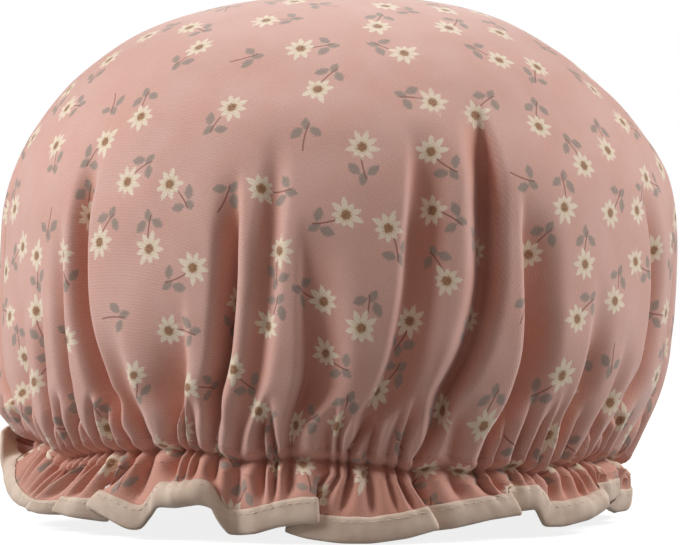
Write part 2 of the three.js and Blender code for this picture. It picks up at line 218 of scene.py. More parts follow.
# Lining: its gap under the cloth, the columns whose folds it spans, and its way past the elastic
LINING_GAP = 0.9
LINING_SPAN = 6
LINING_STEP = 2
LINING_JOIN = 0.45
BAND_CLEARANCE = 2.6
BAND_SQUARENESS = 0.3

# Section of the folded tape, as distances up from the hem and out from the cloth: its outer face, the
# fold under the hem, its inner face, and back between the layers
TAPE_SECTION = [
    (9.0, 0.20), (8.85, 0.55), (7.7, 0.76), (6.9, 0.72), (5.0, 0.84), (2.6, 0.86), (0.9, 0.76), (0.1, 0.5),
    (-0.45, -0.05), (-0.5, -0.45), (-0.35, -0.9),
    (0.3, -1.35), (1.2, -1.55), (5.0, -1.65), (7.9, -1.55), (8.75, -1.4), (8.9, -1.05),
    (7.5, -1.1), (1.6, -1.15), (0.5, -0.45), (1.6, 0.32), (7.5, 0.3),
]
TAPE_MIDDLE = 4
TAPE_EDGE = 8
TAPE_EDGE_WAVES = [(0.18, 260), (0.15, 90)]
SWELL_WAVES = [(0.10, 300)]
SWELL_UP = (1, 8)
SWELL_OUT = 0.5

# Stitches: places along one, with its lift from the cloth and its half thickness there
STITCH_STATIONS = [
    (0.0, -0.30, 0.10), (0.18, -0.04, 0.20), (0.5, 0.02, 0.22), (0.82, -0.04, 0.20), (1.0, -0.30, 0.10),
]
STITCH_SIDES = 6
STITCH_LENGTH = 2.4
STITCH_GAP = 0.8
STITCH_LOOK = 0.3
TOPSTITCH_UP = 7.0
TOPSTITCH_OUT = 0.70
CASING_SINK = 0.05

# Elastic and the zigzag that joins its ends
ELASTIC_STEPS = 300
ELASTIC_RIBS = 6
RIB_POINTS = 6
RIB_HEIGHT = 0.12
ELASTIC_HALF = 0.38 * ELASTIC_THICKNESS
LAP_CLEARANCE = 0.4
LAP_EASING = 4
BAR_TACK_ROWS = 7
BAR_TACK_POINTS = 8
BAR_TACK_SINK = 0.8
BAR_TACK_ENDS = 2.4
BAR_TACK_EDGE = 1.0
BAR_TACK_THICK = 0.28

# Print of the cloth
MOTIF_SPACING = 19.8
MOTIF_TRIES = 9000
POLAR_REACH = 70.0
PETALS = 9
PETAL_LENGTH = 4.1
PETAL_VARIATION = 2.8
PETAL_ROOT = 3.1
PETAL_TIP = (1.15, 0.85)
PETAL_PICKS = 97
HEART_RADIUS = 1.7
FLOWER_RISE = 3.4
FLOWER_SHARE = 0.86
Leaf = namedtuple("Leaf", "x y angle length width")
LEAVES = [
    Leaf(-3.4, -4.6, 130, 5.8, 3.4),
    Leaf(3.2, -5.6, 35, 5.4, 3.2),
    Leaf(-0.6, -8.4, 82, 5.0, 3.0),
]
STEM_HALF = 0.28
STEM_EDGE = 0.12
STEM_CURVE = 0.018
STEM_SHIFT = 0.6
STEM_TOP = 2.0
STEM_FOOT = -8.6
STEM_FADE = 0.3
PRINT_EDGE = 0.32
LEAF_EDGE = 0.55
PRINT_ROUGHNESS = 2.4

# Shares of the print's inks, of the shade between petals, and of the shades of twill and thread
LEAF_INK = 0.9
STEM_INK = 0.8
PETAL_SHADE = 0.35
TWILL_INK = 0.16
THREAD_INK = 0.08

# Weaves: thread pitches, wear, the fold depth at which the painted shade of creases is full, and relief
WEAR_SHARE = 0.3
PAINTED_SHADE_DEPTH = 5.0
TWILL_PITCH = 1.1
TWILL_LEAN = (0.6, 0.8)
TWILL_BASE = 0.4
TWILL_UNEVENNESS = 9.0
TWILL_RELIEF = 0.15
CRINKLE_FINE_SHARE = 0.2
FILM_ROUGHNESS = 0.32
FILM_ROUGHNESS_GAIN = 0.2
WEAVE_PITCH = 0.7
WEAVE_INK = 0.08
WEAVE_SHARE = 0.2
NOISE_RANGE = (0.3, 0.7)
NARROW_RANGE = (0.35, 0.65)
WIDE_RANGE = (0.25, 0.75)
PETAL_RANGE = (0.25, 0.8)
PETAL_SIDES = (0.75, 1.0)

# Finishes
CLOTH_FINISH = {"Roughness": 0.88, "Specular IOR Level": 0.25, "Sheen Weight": 0.35, "Sheen Roughness": 0.5}
TAPE_FINISH = {"Roughness": 0.85, "Specular IOR Level": 0.25, "Sheen Weight": 0.1}
THREAD_FINISH = {"Roughness": 0.6}

# Colours in plain light, a darker and a lighter one where they vary
# The cloth's darker pink is partly painted shade, in its creases and over the ruffle, and its lighter pink
# partly painted light, on the crown's ridges and top; the rest of their mix is random wear
CLOTH_PINKS = colour(209, 152, 134), colour(221, 181, 170)
TWILL_SHADE = colour(164, 112, 100)
LEAF_GREYS = colour(143, 135, 126), colour(159, 151, 142)
STEM_COLOUR = colour(132, 84, 74)
PETAL_CREAMS = colour(224, 206, 178), colour(240, 228, 206)
HEART_BROWNS = colour(134, 98, 70), colour(178, 140, 104)
FILM_WHITES = colour(226, 221, 214), colour(238, 235, 230)
TAPE_CREAMS = colour(208, 187, 169), colour(230, 212, 195)
THREAD_PINKS = colour(180, 134, 122), colour(206, 162, 150)
ELASTIC_WHITES = colour(206, 202, 194), colour(236, 233, 226)

# Studio, in metres: each lamp's name, place, width and power; the world, the floor and the camera
LAMPS = [
    ("left_box", (-1.08, -0.35, 0.78), 0.7, 15),
    ("right_box", (1.08, -0.12, 0.85), 0.7, 13.4),
    ("overhead", (0.10, -0.10, 1.3), 1.0, 1.0),
]
LAMP_TARGET = (0, 0, 0.1)
LAMP_TINT = (0.99, 1.0, 1.0)
WHITE = (1, 1, 1, 1)
WORLD_TINT = (1.0, 0.68, 0.55, 1)
WORLD_STRENGTH = 0.18
FLOOR_HALF = 6.0
FLOOR_COLOUR = (0.32, 0.32, 0.32, 1)
FLOOR_GLOW = 0.84
FLOOR_FADE = (0.2, 0.7)
CAMERA_PLACE = (0, -1.0, 0.075)
CAMERA_TARGET = (0, 0, 0.0985)
CAMERA_SENSOR = 36
CAMERA_LENS = 132.3

rng = np.random.default_rng(SEED)


def smooth(low, high, value):
    """0 below low, 1 above high, and an even ramp between them."""
    share = np.clip((value - low) / (high - low), 0, 1)
    return share * share * (3 - 2 * share)


def around(angle):
    """The same angle between -180 and 180 degrees."""
    return (angle + 180) % 360 - 180


def near(angle, centre, width):
    """1 at the centre, and 0 from width degrees on either side of it."""
    return smooth(width, 0, np.abs(around(angle - centre)))


def unit(vectors):
    """The same vectors at a length of 1."""
    return vectors / np.maximum(np.linalg.norm(vectors, axis=-1, keepdims=True), TINY)


def gaps(points, axis=0):
    """Lengths from each point to the next along an axis of a grid."""
    return np.linalg.norm(np.diff(points, axis=axis), axis=-1)


def running(lengths):
    """0, and the sum of the lengths so far after each of them."""
    return np.concatenate([[0], np.cumsum(lengths)])


def bell(count):
    """Weights of a bell shape that add up to 1."""
    weights = np.hanning(count + 2)[1:-1]
    return weights / weights.sum()


def point_at(length, along, line):
    """The coordinates of a line of points at a length along it."""
    return np.array([np.interp(length, along, values) for values in line.T])


def soft_noise(across, up, cells_across, cells_up):
    """Smooth noise from -1 to 1 that joins up round the cap. across and up run from 0 to 1."""
    lattice = rng.uniform(-1, 1, (cells_up + 2, cells_across))
    x = (across % 1) * cells_across
    y = np.clip(up, 0, 1) * cells_up
    column = np.floor(x).astype(int)
    row = np.floor(y).astype(int)
    fx = smooth(0, 1, x - column)
    fy = smooth(0, 1, y - row)
    left = column % cells_across
    right = (column + 1) % cells_across
    low = lattice[row, left] * (1 - fx) + lattice[row, right] * fx
    high = lattice[row + 1, left] * (1 - fx) + lattice[row + 1, right] * fx
    return low * (1 - fy) + high * fy


def ring_noise(turn, waves):
    """Smooth noise round the cap, from the size and the cells of each kind of wave."""
    return sum(size * soft_noise(turn, 0 * turn, cells, 1) for size, cells in waves)


def place(radius, heading, height, shift=1, tilt=1):
    """Points in space. shift and tilt, from 0 to 1, are a row's share of the neck's own."""
    turn = np.radians(heading)
    x = radius * np.sin(turn) + NECK_SHIFT * shift
    y = -radius * np.cos(turn)
    z = height - NECK_DROP * tilt * np.sin(turn)
    return np.stack(np.broadcast_arrays(x, y, z), axis=-1)


def all_folds():
    """The front creases and, round the sides and back, seeded ones of the same kind."""
    folds = list(FRONT_FOLDS)
    start = FRONT_FOLDS[-1].neck
    step = (FRONT_FOLDS[0].neck + 360 - start) / (BACK_FOLDS + 1)
    for index in range(BACK_FOLDS):
        neck = start + step * (index + 1 + rng.uniform(-BACK_JITTER, BACK_JITTER))
        top = rng.uniform(*BACK_TOPS)
        depth = rng.uniform(*BACK_DEPTHS) + (BACK_TOPS[1] - top) * BACK_DEPTH_GAIN
        belly = neck + rng.uniform(-BACK_DRIFT, BACK_DRIFT)
        folds.append(Fold(neck, belly, top, depth, rng.choice([-1, 1])))
    return folds


def second_folds(folds):
    """Smaller creases, low on the crown, in the wider gaps between the main ones."""
    smaller = []
    for index, fold in enumerate(folds):
        following = folds[(index + 1) % len(folds)]
        gap = (following.belly - fold.belly) % 360
        count = round(gap / SECOND_FOLD_GAP)
        for step in range(1, count):
            share = (step + rng.uniform(-SECOND_JITTER, SECOND_JITTER)) / count
            neck = fold.neck + (following.neck - fold.neck) % 360 * share
            belly = fold.belly + gap * share
            top = rng.uniform(*SECOND_TOPS)
            smaller.append(Fold(neck, belly, top, rng.uniform(*SECOND_DEPTHS), rng.choice([-1, 1])))
    return smaller


def gather_folds(folds):
    """The short gathers that the elastic makes between the creases, unevenly spaced."""
    ordered = sorted(folds, key=lambda fold: fold.neck)
    short = []
    for index, fold in enumerate(ordered):
        gap = (ordered[(index + 1) % len(ordered)].neck - fold.neck) % 360
        at = rng.choice(GATHER_GAPS)
        while at < gap - GATHER_GAPS[0]:
            neck = fold.neck + at
            top = END_TILT - rng.choice(GATHER_REACHES) * rng.uniform(*GATHER_UNEVENNESS)
            belly = neck + rng.uniform(-GATHER_DRIFT, GATHER_DRIFT)
            short.append(Fold(neck, belly, top, GATHER_DEPTH * rng.uniform(*GATHER_DEPTH_SHARES), 0))
            at += rng.choice(GATHER_GAPS)
    return short


def half_gaps(headings):
    """Half of the gaps from each heading to its neighbours before and after it."""
    headings = around(np.array(headings))
    order = np.argsort(headings)
    after = (np.roll(headings[order], -1) - headings[order]) % 360 / 2
    halves = np.empty((len(order), 2))
    halves[order] = np.stack([np.roll(after, 1), after], axis=1)
    return halves


def pinch(share):
    """Depth share of a gather: sharp at its bottom and rounded over to the puffs beside it."""
    return 1 - np.sin(math.pi / 2 * share)


def hollow(share, on_steep_side):
    """Depth share of a draped fold: a soft hollow with a sharp ridge on its steep side."""
    return np.where(on_steep_side, np.cos(math.pi / 2 * share), (1 + np.cos(math.pi * share)) / 2)


def rounded(depth):
    """The same folds with their ridges rounded over a few columns."""
    total = np.zeros_like(depth)
    for step, weight in enumerate(bell(2 * RIDGE_ROUNDING + 1), -RIDGE_ROUNDING):
        total += weight * np.roll(depth, step, axis=1)
    return total


def crown_folds(heading, tilt, radius):
    """How deep the cloth lies below its envelope, and how far it is pushed aside, on a grid."""
    main = all_folds()
    draped = main + second_folds(main)
    folds = draped + gather_folds(draped)
    neck_gaps = half_gaps([fold.neck for fold in folds])
    belly_gaps = half_gaps([fold.belly for fold in folds])
    for larger in (draped, main):
        belly_gaps[:len(larger)] = half_gaps([fold.belly for fold in larger])
    cubes = np.zeros(np.broadcast(heading, tilt).shape)
    aside = np.zeros_like(cubes)
    to_neck = np.clip((tilt - BELLY_TILT) / (END_TILT - BELLY_TILT), 0, 1) ** PATH_BEND
    close = smooth(*GATHER_TILTS, tilt)
    scale = np.radians(radius)
    for index, fold in enumerate(folds):
        size = rng.uniform(*WAVE_SIZES)
        wave = size * np.sin(np.radians(tilt) * rng.uniform(*WAVE_RATES) + rng.uniform(*WAVE_STARTS))
        path = fold.belly + around(fold.neck - fold.belly) * to_neck + wave * (1 - to_neck)
        distance = around(heading - path) * scale
        grown = smooth(fold.top, min(fold.top + FOLD_GROWTH, GATHER_TILTS[1]), tilt)
        depth = fold.depth * grown * (1 - close) + min(fold.depth, GATHER_DEPTH) * close
        left, right = (
            (at_belly * (1 - close) + at_neck * close) * scale
            for at_belly, at_neck in zip(belly_gaps[index], neck_gaps[index])
        )
        steep = STEEP_SHARE + (1 - STEEP_SHARE) * close
        if fold.steep < 0:
            left = left * steep
        elif fold.steep > 0:
            right = right * steep
        share = np.clip(np.where(distance < 0, -distance / left, distance / right), 0, 1)
        shape = pinch(share)
        if index < len(draped):
            shape = shape * close + hollow(share, distance * fold.steep > 0) * (1 - close)
        cubes += (depth * shape) ** 3
        if fold.steep:
            along = distance * fold.steep / (right if fold.steep > 0 else left)
            over = smooth(0, 1, along) * (1 - smooth(1, OVERHANG_END, along))
            aside -= fold.steep * OVERHANG * fold.depth * grown * (1 - close) * over
    depth = np.cbrt(cubes)
    return depth * close + rounded(depth) * (1 - close), aside


def widest(depth):
    """The greatest depth within a few columns of each place."""
    turns = range(-LINING_SPAN, LINING_SPAN + 1)
    return np.max([np.roll(depth, turn, axis=-1) for turn in turns], axis=0)


def side_sag(heading):
    """How far the filled cap sags out over its neck on the left."""
    return SAG_DEPTH * near(heading, *SAG_HEADINGS)


def left_tuck(heading):
    """How far the ruffle starts further in on the left, where its hem turns up."""
    return LEFT_TUCK * near(heading, *LEFT_TUCK_HEADINGS)


def crown_grid(heading, wobble):
    """The crown from below its pole to the upper stitch row, its lining, its folds and its flat lengths."""
    share = np.linspace(0, 1, CROWN_ROWS + 1)[1:, None]
    tilt = END_TILT * (share * (1 + ROW_CROWDING) - ROW_CROWDING * share ** 3)
    radians = np.radians(tilt)
    radius = CROWN_RADIUS * np.sin(radians) ** (2 / FULLNESS)
    lift = np.where(tilt < BELLY_TILT, CROWN_RISE, CROWN_FALL)
    height = BELLY_HEIGHT + lift * np.sign(np.cos(radians)) * np.abs(np.cos(radians)) ** (2 / FULLNESS)
    run = np.gradient(radius, axis=0)
    fall = np.gradient(height, axis=0)
    length = np.hypot(run, fall)
    near_neck = smooth(LEVEL_TILT, END_TILT, tilt)
    out = -fall / length
    up = run / length * (1 - near_neck)
    size = np.hypot(out, up)
    out, up = out / size, up / size

    depth, aside = crown_folds(heading, tilt, radius)
    ripple = sum(size * soft_noise(heading / 360, tilt / END_TILT, *cells) for size, *cells in RIPPLES)
    ripple = ripple * smooth(*RIPPLE_START, tilt) * (1 - RIPPLE_LOSS * near_neck)
    dent = DENT_DEPTH * near(heading, *DENT_HEADINGS) * near(tilt, *DENT_TILTS)
    at_neck = smooth(NECK_TILT, END_TILT, tilt)
    sag = side_sag(heading) * smooth(*SAG_START, tilt) * (1 - (1 - NECK_SAG_SHARE) * at_neck)
    inward = depth + (dent - sag - ripple)
    lean = smooth(LEAN_TILT, END_TILT, tilt)
    height = height + wobble * lean
    moved = heading + np.degrees(aside / np.maximum(radius, OVERHANG_RADIUS))
    points = place(radius - inward * out, moved, height - inward * up, lean, lean)
    deepest = widest(inward)
    under = deepest + (inward - deepest) * at_neck + LINING_GAP
    lining = place(radius - under * out, heading, height - under * up, lean, lean)
    level = height.mean(axis=1)
    flat = running(np.hypot(np.diff(radius[:, 0]), np.diff(level)))
    flat += np.hypot(radius[0, 0], CROWN_TOP - level[0])
    return points, lining, depth, flat


def channel_grid(heading, gathers, wobble):
    """The pinched neck between the two stitch rows, over the elastic."""
    rows = []
    for share, out in NECK_PROFILE:
        drawn = PINCH_SHARE + (1 - PINCH_SHARE) * abs(share)
        sag = NECK_SAG_SHARE * side_sag(heading) * (1 + share) / 2 - left_tuck(heading) * (1 - share) / 2
        radius = BAND_RADIUS + out + sag - gathers * drawn
        rows.append(place(radius, heading, NECK_HEIGHT + STITCH_RISE * share + wobble))
    return np.concatenate(rows)


def hem_points():
    """The points of the hem: the front as seen, and seeded lobes of the same kind behind."""
    points = list(FRONT_HEM)
    start = FRONT_HEM[-1].neck + LOBE_GAP
    room = FRONT_HEM[0].neck + 360 - start
    half = len(BACK_LOBE_HEIGHTS) // 2
    facing_lobe = [(1 - at, 1 - hem, reach) for at, hem, reach in reversed(LEANING_LOBE)]
    lobes = [LEANING_LOBE] * half + [PLAIN_LOBE] + [facing_lobe] * half
    shares = rng.uniform(*LOBE_WIDTHS, len(lobes))
    begins = start + room * running(shares) / shares.sum()
    widths = room * shares / shares.sum()
    for begin, width, lobe, heights in zip(begins, widths, lobes, BACK_LOBE_HEIGHTS):
        for at, hem, reach in lobe:
            heading = begin + width * hem
            tucked = reach - RIGHT_TUCK * near(heading, *RIGHT_TUCK_HEADINGS)
            height = np.interp(hem, [0, 0.5, 1], heights)
            points.append(Hem(begin + width * at, heading, tucked, height))
    return points


def hem_line(heading):
    """Radius, heading, height and roll of the hem for each column of the cloth."""
    points = np.array(hem_points())
    points[:, 1] -= points[:, 0]
    lines = []
    for values in points[:, 1:].T:
        line = np.interp(heading, points[:, 0], values, period=360)
        wide = np.concatenate([line[-HEM_ROUNDING:], line, line[:HEM_ROUNDING]])
        lines.append(np.convolve(wide, bell(HEM_ROUNDING), "same")[HEM_ROUNDING:-HEM_ROUNDING])
    turned, reach, height, roll = lines
    return BAND_RADIUS + reach, heading + turned, height, roll


def length_to_go(path):
    """The length from each row of a grid to its last row."""
    whole = np.cumsum(gaps(path)[::-1], axis=0)[::-1]
    return np.concatenate([whole, np.zeros((1, whole.shape[1]))])


def ruffle_grid(heading, gathers, wobble, hem, fading):
    """The ruffle from the lower stitch row to the hem, its last rows under the binding."""
    neck_radius = BAND_RADIUS + NECK_PROFILE[-1][1] - left_tuck(heading)
    neck = (neck_radius, heading, NECK_HEIGHT - STITCH_RISE + wobble)
    steps = np.linspace(0, 1, FALL_STEPS)[:, None]
    lines = []
    for start, end, share, bulge in zip(neck, hem, BEND_SHARES, BEND_BULGES):
        bend = start + (end - start) * share + bulge
        lines.append((1 - steps) ** 2 * start + 2 * steps * (1 - steps) * bend + steps ** 2 * end)
    radius, turned, height = lines
    run = np.gradient(radius, axis=0)
    fall = np.gradient(height, axis=0)
    away = smooth(0, SQUARE_SHARE, steps)
    out = 1 - away - away * fall / np.hypot(run, fall)
    up = away * run / np.hypot(run, fall)
    unbound = smooth(*GATHER_END, length_to_go(place(radius, turned, height, 1, 1 - steps)))
    inward = gathers * (1 - steps) ** fading * unbound / np.hypot(out, up)
    path = place(radius - inward * out, turned, height - inward * up, 1, 1 - steps)

    to_go = length_to_go(path)
    grid = np.zeros((RUFFLE_ROWS + BINDING_ROWS, len(heading), 3))
    bound = np.linspace(BINDING_WIDTH, 0, BINDING_ROWS + 1)[1:]
    for column in range(len(heading)):
        free = np.linspace(to_go[0, column], BINDING_WIDTH, RUFFLE_ROWS + 1)[1:]
        wanted = np.concatenate([free, bound])
        grid[:, column] = point_at(-wanted, -to_go[:, column], path[:, column]).T
    rolled = np.sin(math.pi * np.linspace(0, 1, BINDING_ROWS + 1)[1:])
    outward = place(1.0, heading, 0.0, 0, 0)
    grid[RUFFLE_ROWS:] += rolled[:, None, None] * (hem[-1][:, None] * outward)
    return grid


def grid_normals(grid):
    """Outward unit normals of a grid that closes round its columns."""
    along = np.roll(grid, -1, axis=1) - np.roll(grid, 1, axis=1)
    return unit(np.cross(np.gradient(grid, axis=0), along))


def cloth_grid():
    """The outer cloth, its lining's crown and ruffle, flat lengths, fold depths with the ruffle's set for
    painted shade, and the neck's wobble.
    """
    heading = COLUMN_HEADINGS
    wobble = ring_noise(heading / 360, NECK_WAVES)
    crown, crown_lining, depth, flat = crown_grid(heading[None], wobble)
    gathers = depth[-1]
    channel = channel_grid(heading[None], gathers, wobble)
    hem = hem_line(heading)
    fading = GATHER_FADING + ring_noise(heading / 360, FADING_WAVES)
    ruffle = ruffle_grid(heading, gathers, wobble, hem, fading)
    inner_ruffle = ruffle_grid(heading, widest(gathers), wobble, hem, fading)
    bound = smooth(RUFFLE_ROWS * LINING_JOIN, RUFFLE_ROWS - 1, np.arange(len(ruffle)))[:, None, None]
    inner_ruffle += (ruffle - inner_ruffle) * bound
    grid = np.concatenate([crown, channel, ruffle])
    steps = gaps(grid[len(crown) - 1:]).mean(axis=1)
    flat = np.concatenate([flat, flat[-1] + np.cumsum(steps)])
    # The ruffle is given the full depth of the painted crease shade, so that it is all painted shade
    ruffle_painted_shade_depth = np.full((len(grid) - len(crown), COLUMNS), PAINTED_SHADE_DEPTH)
    return grid, crown_lining, inner_ruffle, flat, np.concatenate([depth, ruffle_painted_shade_depth]), wobble


def add_object(name, data):
    """A mesh, lamp or camera as an object of the scene."""
    made = bpy.data.objects.new(name, data)
    bpy.context.scene.collection.objects.link(made)
    return made


def new_object(name, points, faces):
    """A smooth-shaded mesh object from points in millimetres."""
    mesh = bpy.data.meshes.new(name)
    mesh.from_pydata((np.asarray(points) * MM).reshape(-1, 3).tolist(), [], faces)
    mesh.shade_smooth()
    return add_object(name, mesh)


def dress(piece, node, material):
    """Makes a piece stand for a solid of the frame, in the given finish."""
    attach(piece, "root")
    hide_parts(node)
    piece.data.materials.append(material)


def add_uv(piece, name, values):
    """A UV layer from one pair of numbers for each face corner."""
    layer = piece.data.uv_layers.new(name=name)
    layer.uv.foreach_set("vector", np.ascontiguousarray(values, dtype=np.float32).ravel())


def sheet_corners(rows, columns):
    """Row, column and face of every face corner of a sheet, the pole counting as row 0."""
    column = np.arange(columns)
    fan_rows = np.tile([0, 1, 1], (columns, 1))
    fan_columns = column[:, None] + [0, 0, 1]
    quad_rows = np.repeat(np.arange(1, rows), columns)[:, None] + [0, 1, 1, 0]
    quad_columns = np.tile(column, rows - 1)[:, None] + [0, 0, 1, 1]
    face = np.concatenate([np.repeat(column, 3), columns + np.repeat(np.arange(len(quad_rows)), 4)])
    row_at = np.concatenate([fan_rows.ravel(), quad_rows.ravel()])
    column_at = np.concatenate([fan_columns.ravel(), quad_columns.ravel()])
    return row_at, column_at, face


def sheet_object(name, grid):
    """A single-layer sheet: a fan round the pole, then rings of quads down to the hem."""
    rows, columns = grid.shape[:2]
    pole = [0, 0, grid[0, :, 2].mean() + POLE_RISE]
    row_at, column_at, _ = sheet_corners(rows, columns)
    below = (row_at - 1) * columns + column_at % columns
    corners = np.where(row_at > 0, below, rows * columns)
    fan = corners[:3 * columns].reshape(-1, 3).tolist()
    quads = corners[3 * columns:].reshape(-1, 4).tolist()
    return new_object(name, np.concatenate([grid.reshape(-1, 3), [pole]]), fan + quads)


def tube_faces(rings, count, closed):
    """Faces of a tube of rings of points, which joins up with its start or has flat ends."""
    ring = count * np.arange(rings if closed else rings - 1)[:, None]
    ahead = (ring + count) % (rings * count)
    point = np.arange(count)
    after = (point + 1) % count
    quads = np.stack([ring + point, ring + after, ahead + after, ahead + point], axis=-1)
    ends = [] if closed else [point[::-1].tolist(), (point + (rings - 1) * count).tolist()]
    return quads.reshape(-1, 4).tolist() + ends


def flat_lay(radius, turn):
    """Places on the flat disc that the cloth is cut from."""
    return np.stack([radius * np.sin(turn), -radius * np.cos(turn)], axis=-1)


def motif_centres(flat, girth):
    """Seeded places of the print's motifs, as rows and columns, no two closer than the spacing."""
    weights = girth[1:] * np.diff(flat)
    rows = np.zeros(0, int)
    columns = np.zeros(0, int)
    tried_rows = rng.choice(len(weights), MOTIF_TRIES, p=weights / weights.sum()) + 1
    tried_columns = rng.integers(0, COLUMNS, MOTIF_TRIES)
    for row, column in zip(tried_rows, tried_columns):
        turn = np.abs((columns - column + COLUMNS / 2) % COLUMNS - COLUMNS / 2) / COLUMNS
        on_belly = turn * (girth[rows] + girth[row]) / 2
        on_top = 2 * np.sqrt(flat[rows] * flat[row]) * np.sin(turn * math.pi)
        across = np.where(np.minimum(flat[rows], flat[row]) < POLAR_REACH, on_top, on_belly)
        if len(rows) == 0 or np.hypot(across, flat[rows] - flat[row]).min() > MOTIF_SPACING:
            rows = np.append(rows, row)
            columns = np.append(columns, column)
    return rows, columns


def add_print_layers(piece, grid, flat, fold_depth):
    """UV layers of the cloth: its flat lay, its painted light and shade by fold depth, and the place within
    the nearest motif.
    """
    rows = grid.shape[0]
    flat = np.concatenate([[0], flat])
    along = np.zeros((rows + 1, COLUMNS + 1))
    along[1:, 1:] = np.cumsum(np.linalg.norm(np.roll(grid, -1, axis=1) - grid, axis=2), axis=1)
    girth = np.maximum(along[:, -1], TINY)
    turn = np.radians(-180 + 360 * np.arange(COLUMNS + 1) / COLUMNS)
    row_at, column_at, face = sheet_corners(rows, COLUMNS)
    lay = flat_lay(flat[row_at], turn[column_at])
    add_uv(piece, "cloth", lay)
    # Painted light and shade: 1 where the crown has no folds, painting its top and ridges a paler pink, and 0
    # in deep creases and on the ruffle, which get the darker pink as painted shade
    painted_light_share = 1 - smooth(0, PAINTED_SHADE_DEPTH, fold_depth[np.maximum(row_at - 1, 0), column_at % COLUMNS])
    add_uv(piece, "fading", np.stack([painted_light_share, painted_light_share], axis=1))

    face_start = np.concatenate([[0], np.flatnonzero(np.diff(face)) + 1])
    face_flat = flat[row_at[face_start]]
    best = np.full(len(face_start), np.inf)
    local = np.zeros((len(face), 2))
    choice = np.zeros((len(face), 2))
    for row, column in zip(*motif_centres(flat, girth)):
        close_by = np.abs(face_flat - flat[row]) < 2 * MOTIF_SPACING
        corners = np.flatnonzero(close_by[face])
        here = row_at[corners]
        if flat[row] < POLAR_REACH:
            offset = lay[corners] - flat_lay(flat[row], turn[column])
        else:
            across = along[here, column_at[corners]] - along[here, column]
            across = (across + girth[here] / 2) % girth[here] - girth[here] / 2
            offset = np.stack([across, flat[row] - flat[here]], axis=1)
        counts = np.bincount(face[corners], minlength=len(face_start))
        reach = np.bincount(face[corners], np.hypot(*offset.T), len(face_start)) / np.maximum(counts, 1)
        wins = close_by & (reach < best)
        best[wins] = reach[wins]
        won = wins[face[corners]]
        angle = rng.uniform(0, 2 * math.pi)
        spin = np.array([[math.cos(angle), -math.sin(angle)], [math.sin(angle), math.cos(angle)]])
        local[corners[won]] = offset[won] @ spin
        choice[corners[won]] = rng.uniform(0, 1, 2)
    add_uv(piece, "motif", local)
    add_uv(piece, "motif_choice", choice)


def lining_grid(grid, normals, crown_lining, ruffle_lining):
    """The lining, just inside the cloth, and inside the elastic at the neck."""
    inner = grid - normals * LINING_GAP
    inner[:CROWN_ROWS] = crown_lining
    inner[-len(ruffle_lining):] = ruffle_lining - normals[-len(ruffle_lining):] * LINING_GAP
    for step in range(1, CHANNEL_ROWS):
        row = CROWN_ROWS - 1 + step
        under = math.sin(math.pi * step / CHANNEL_ROWS) ** BAND_SQUARENESS
        from_middle = inner[row, :, :2] - [NECK_SHIFT, 0]
        radius = np.linalg.norm(from_middle, axis=1, keepdims=True)
        wanted = radius + (BAND_RADIUS - ELASTIC_THICKNESS - BAND_CLEARANCE - radius) * under
        inner[row, :, :2] = from_middle * np.minimum(wanted / radius, 1) + [NECK_SHIFT, 0]
    return inner[:, ::LINING_STEP]


def hem_surface(grid, normals, up, out):
    """Points at a distance up from the hem and out from the cloth, one for each column."""
    last = grid.shape[0] - 1
    row = last - np.maximum(up, 0) / BINDING_WIDTH * BINDING_ROWS
    below = np.minimum(np.floor(row).astype(int), last - 1)
    part = (row - below)[:, None]
    column = np.arange(grid.shape[1])
    point = grid[below, column] * (1 - part) + grid[below + 1, column] * part
    normal = normals[below, column] * (1 - part) + normals[below + 1, column] * part
    drop = unit(grid[last] - grid[last - 1])
    return point + normal * out[:, None] + drop * np.maximum(-up, 0)[:, None]


def binding_sections(grid, normals):
    """The folded tape over the hem, as one closed section for each column."""
    turn = np.arange(COLUMNS) / COLUMNS
    edge = ring_noise(turn, TAPE_EDGE_WAVES)
    swell = ring_noise(turn, SWELL_WAVES)
    section = []
    for up, out in TAPE_SECTION:
        rise = up + edge * (up > TAPE_EDGE)
        lie = out + swell * (SWELL_UP[0] < up < SWELL_UP[1] and out > SWELL_OUT)
        section.append(hem_surface(grid, normals, rise, lie))
    return np.stack(section, axis=1)


def tape_uvs(piece, faces, run, across):
    """UVs along and across a closed tube, in millimetres."""
    ring = faces // len(across)
    ring[-len(across):, 2:] = len(run)
    ends = np.append(run, 2 * run[-1] - run[-2])
    add_uv(piece, "tape", np.stack([ends[ring], across[faces % len(across)]], axis=-1))


def round_section(centre, out, side, thick):
    """Points round a thread at each of its centres."""
    angle = 2 * math.pi * np.arange(STITCH_SIDES)[:, None] / STITCH_SIDES
    ring = np.cos(angle) * out[..., None, :] + np.sin(angle) * side[..., None, :]
    return centre[..., None, :] + thick * ring


def stitch_object(name, path, outward):
    """Short stitches along a closed line, each dipping into the cloth at its ends."""
    closed = np.concatenate([path, path[:1]])
    lies = np.concatenate([outward, outward[:1]])
    along = running(gaps(closed))
    count = int(along[-1] / (STITCH_LENGTH + STITCH_GAP))
    pitch = along[-1] / count
    stitch = tube_faces(len(STITCH_STATIONS), STITCH_SIDES, False)
    points = []
    faces = []
    for index in range(count):
        faces += [[len(points) + corner for corner in face] for face in stitch]
        for share, lift, thick in STITCH_STATIONS:
            at = index * pitch + share * STITCH_LENGTH
            centre = point_at(at, along, closed)
            ahead = unit(point_at(at + STITCH_LOOK, along, closed) - centre)
            side = unit(np.cross(ahead, point_at(at, along, lies)))
            out = np.cross(side, ahead)
            points.extend(round_section(centre + out * lift, out, side, thick))
    return new_object(name, points, faces)


def neck_level(heading, wobble):
    """Height of the neck's middle at any heading, before it leans."""
    return NECK_HEIGHT + np.interp(heading, COLUMN_HEADINGS, wobble, period=360)


